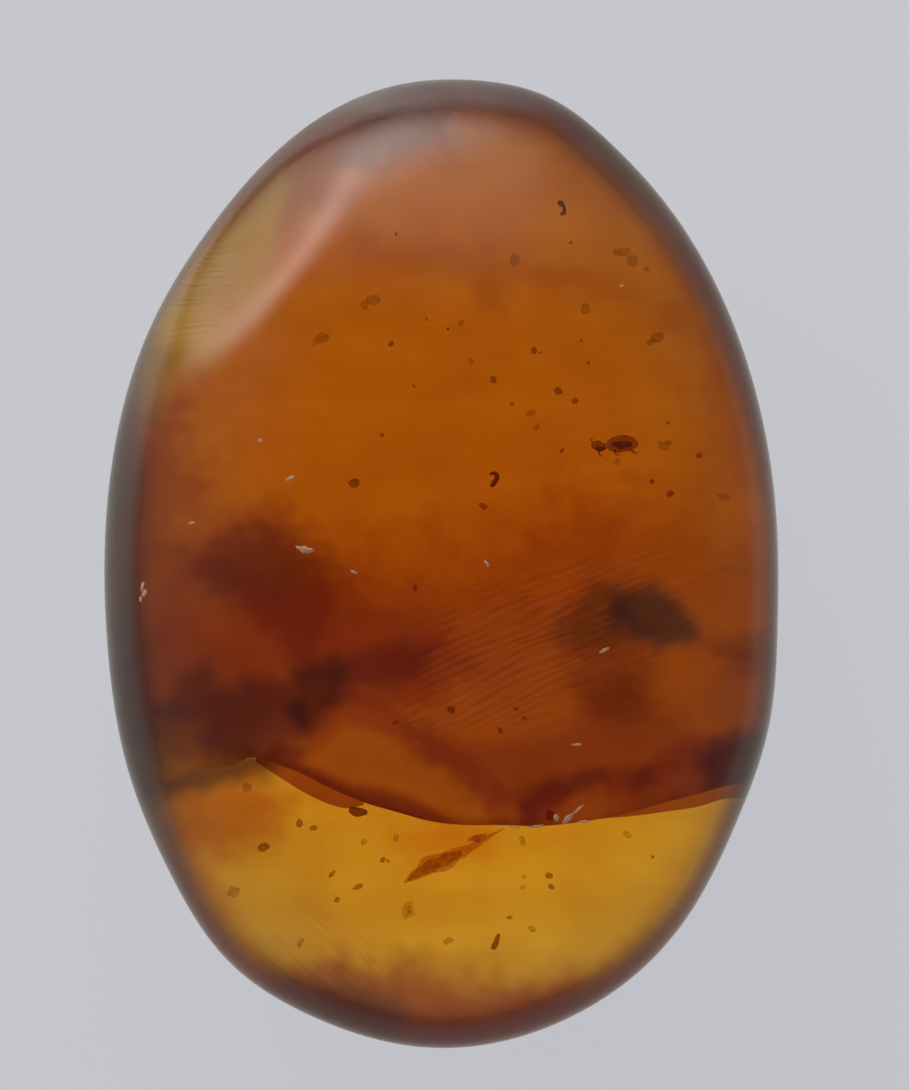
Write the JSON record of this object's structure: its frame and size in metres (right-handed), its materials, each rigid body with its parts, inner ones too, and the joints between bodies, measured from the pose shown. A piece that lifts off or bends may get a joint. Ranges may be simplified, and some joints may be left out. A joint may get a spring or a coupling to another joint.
{
  "type": "burmite amber pebble with inclusions",
  "caption": "Polished oval pebble of clear Burmese amber, domed above and gently rounded below, with a small insect and plant debris sealed inside.",
  "frame": {"origin": "middle of the stone's outline, on the small flat spot that it rests on", "axes": "+Y along the stone's length, +X across its width, +Z out of the domed crown"},
  "size_m": [0.014, 0.02, 0.0067],
  "materials": {
    "amber": "polished, clear, orange to honey yellow",
    "resin_film": "thin see-through reddish film inside the stone",
    "insect": "dark maroon chitin",
    "plant_debris": "brown decayed plant matter",
    "dark_debris": "near-black grains"
  },
  "bodies": {
    "root": {"amber_base": "amber", "amber_crown": "amber", "flow_film": "resin_film", "insect": "insect", "leaf_fragment": "plant_debris", "leaf_crumb": "plant_debris", "bark_speck": "plant_debris", "husk_speck": "plant_debris", "curled_fleck": "dark_debris", "dark_grain": "dark_debris", "short_twig": "dark_debris", "tapered_twig": "dark_debris"}
  },
  "joints": []
}
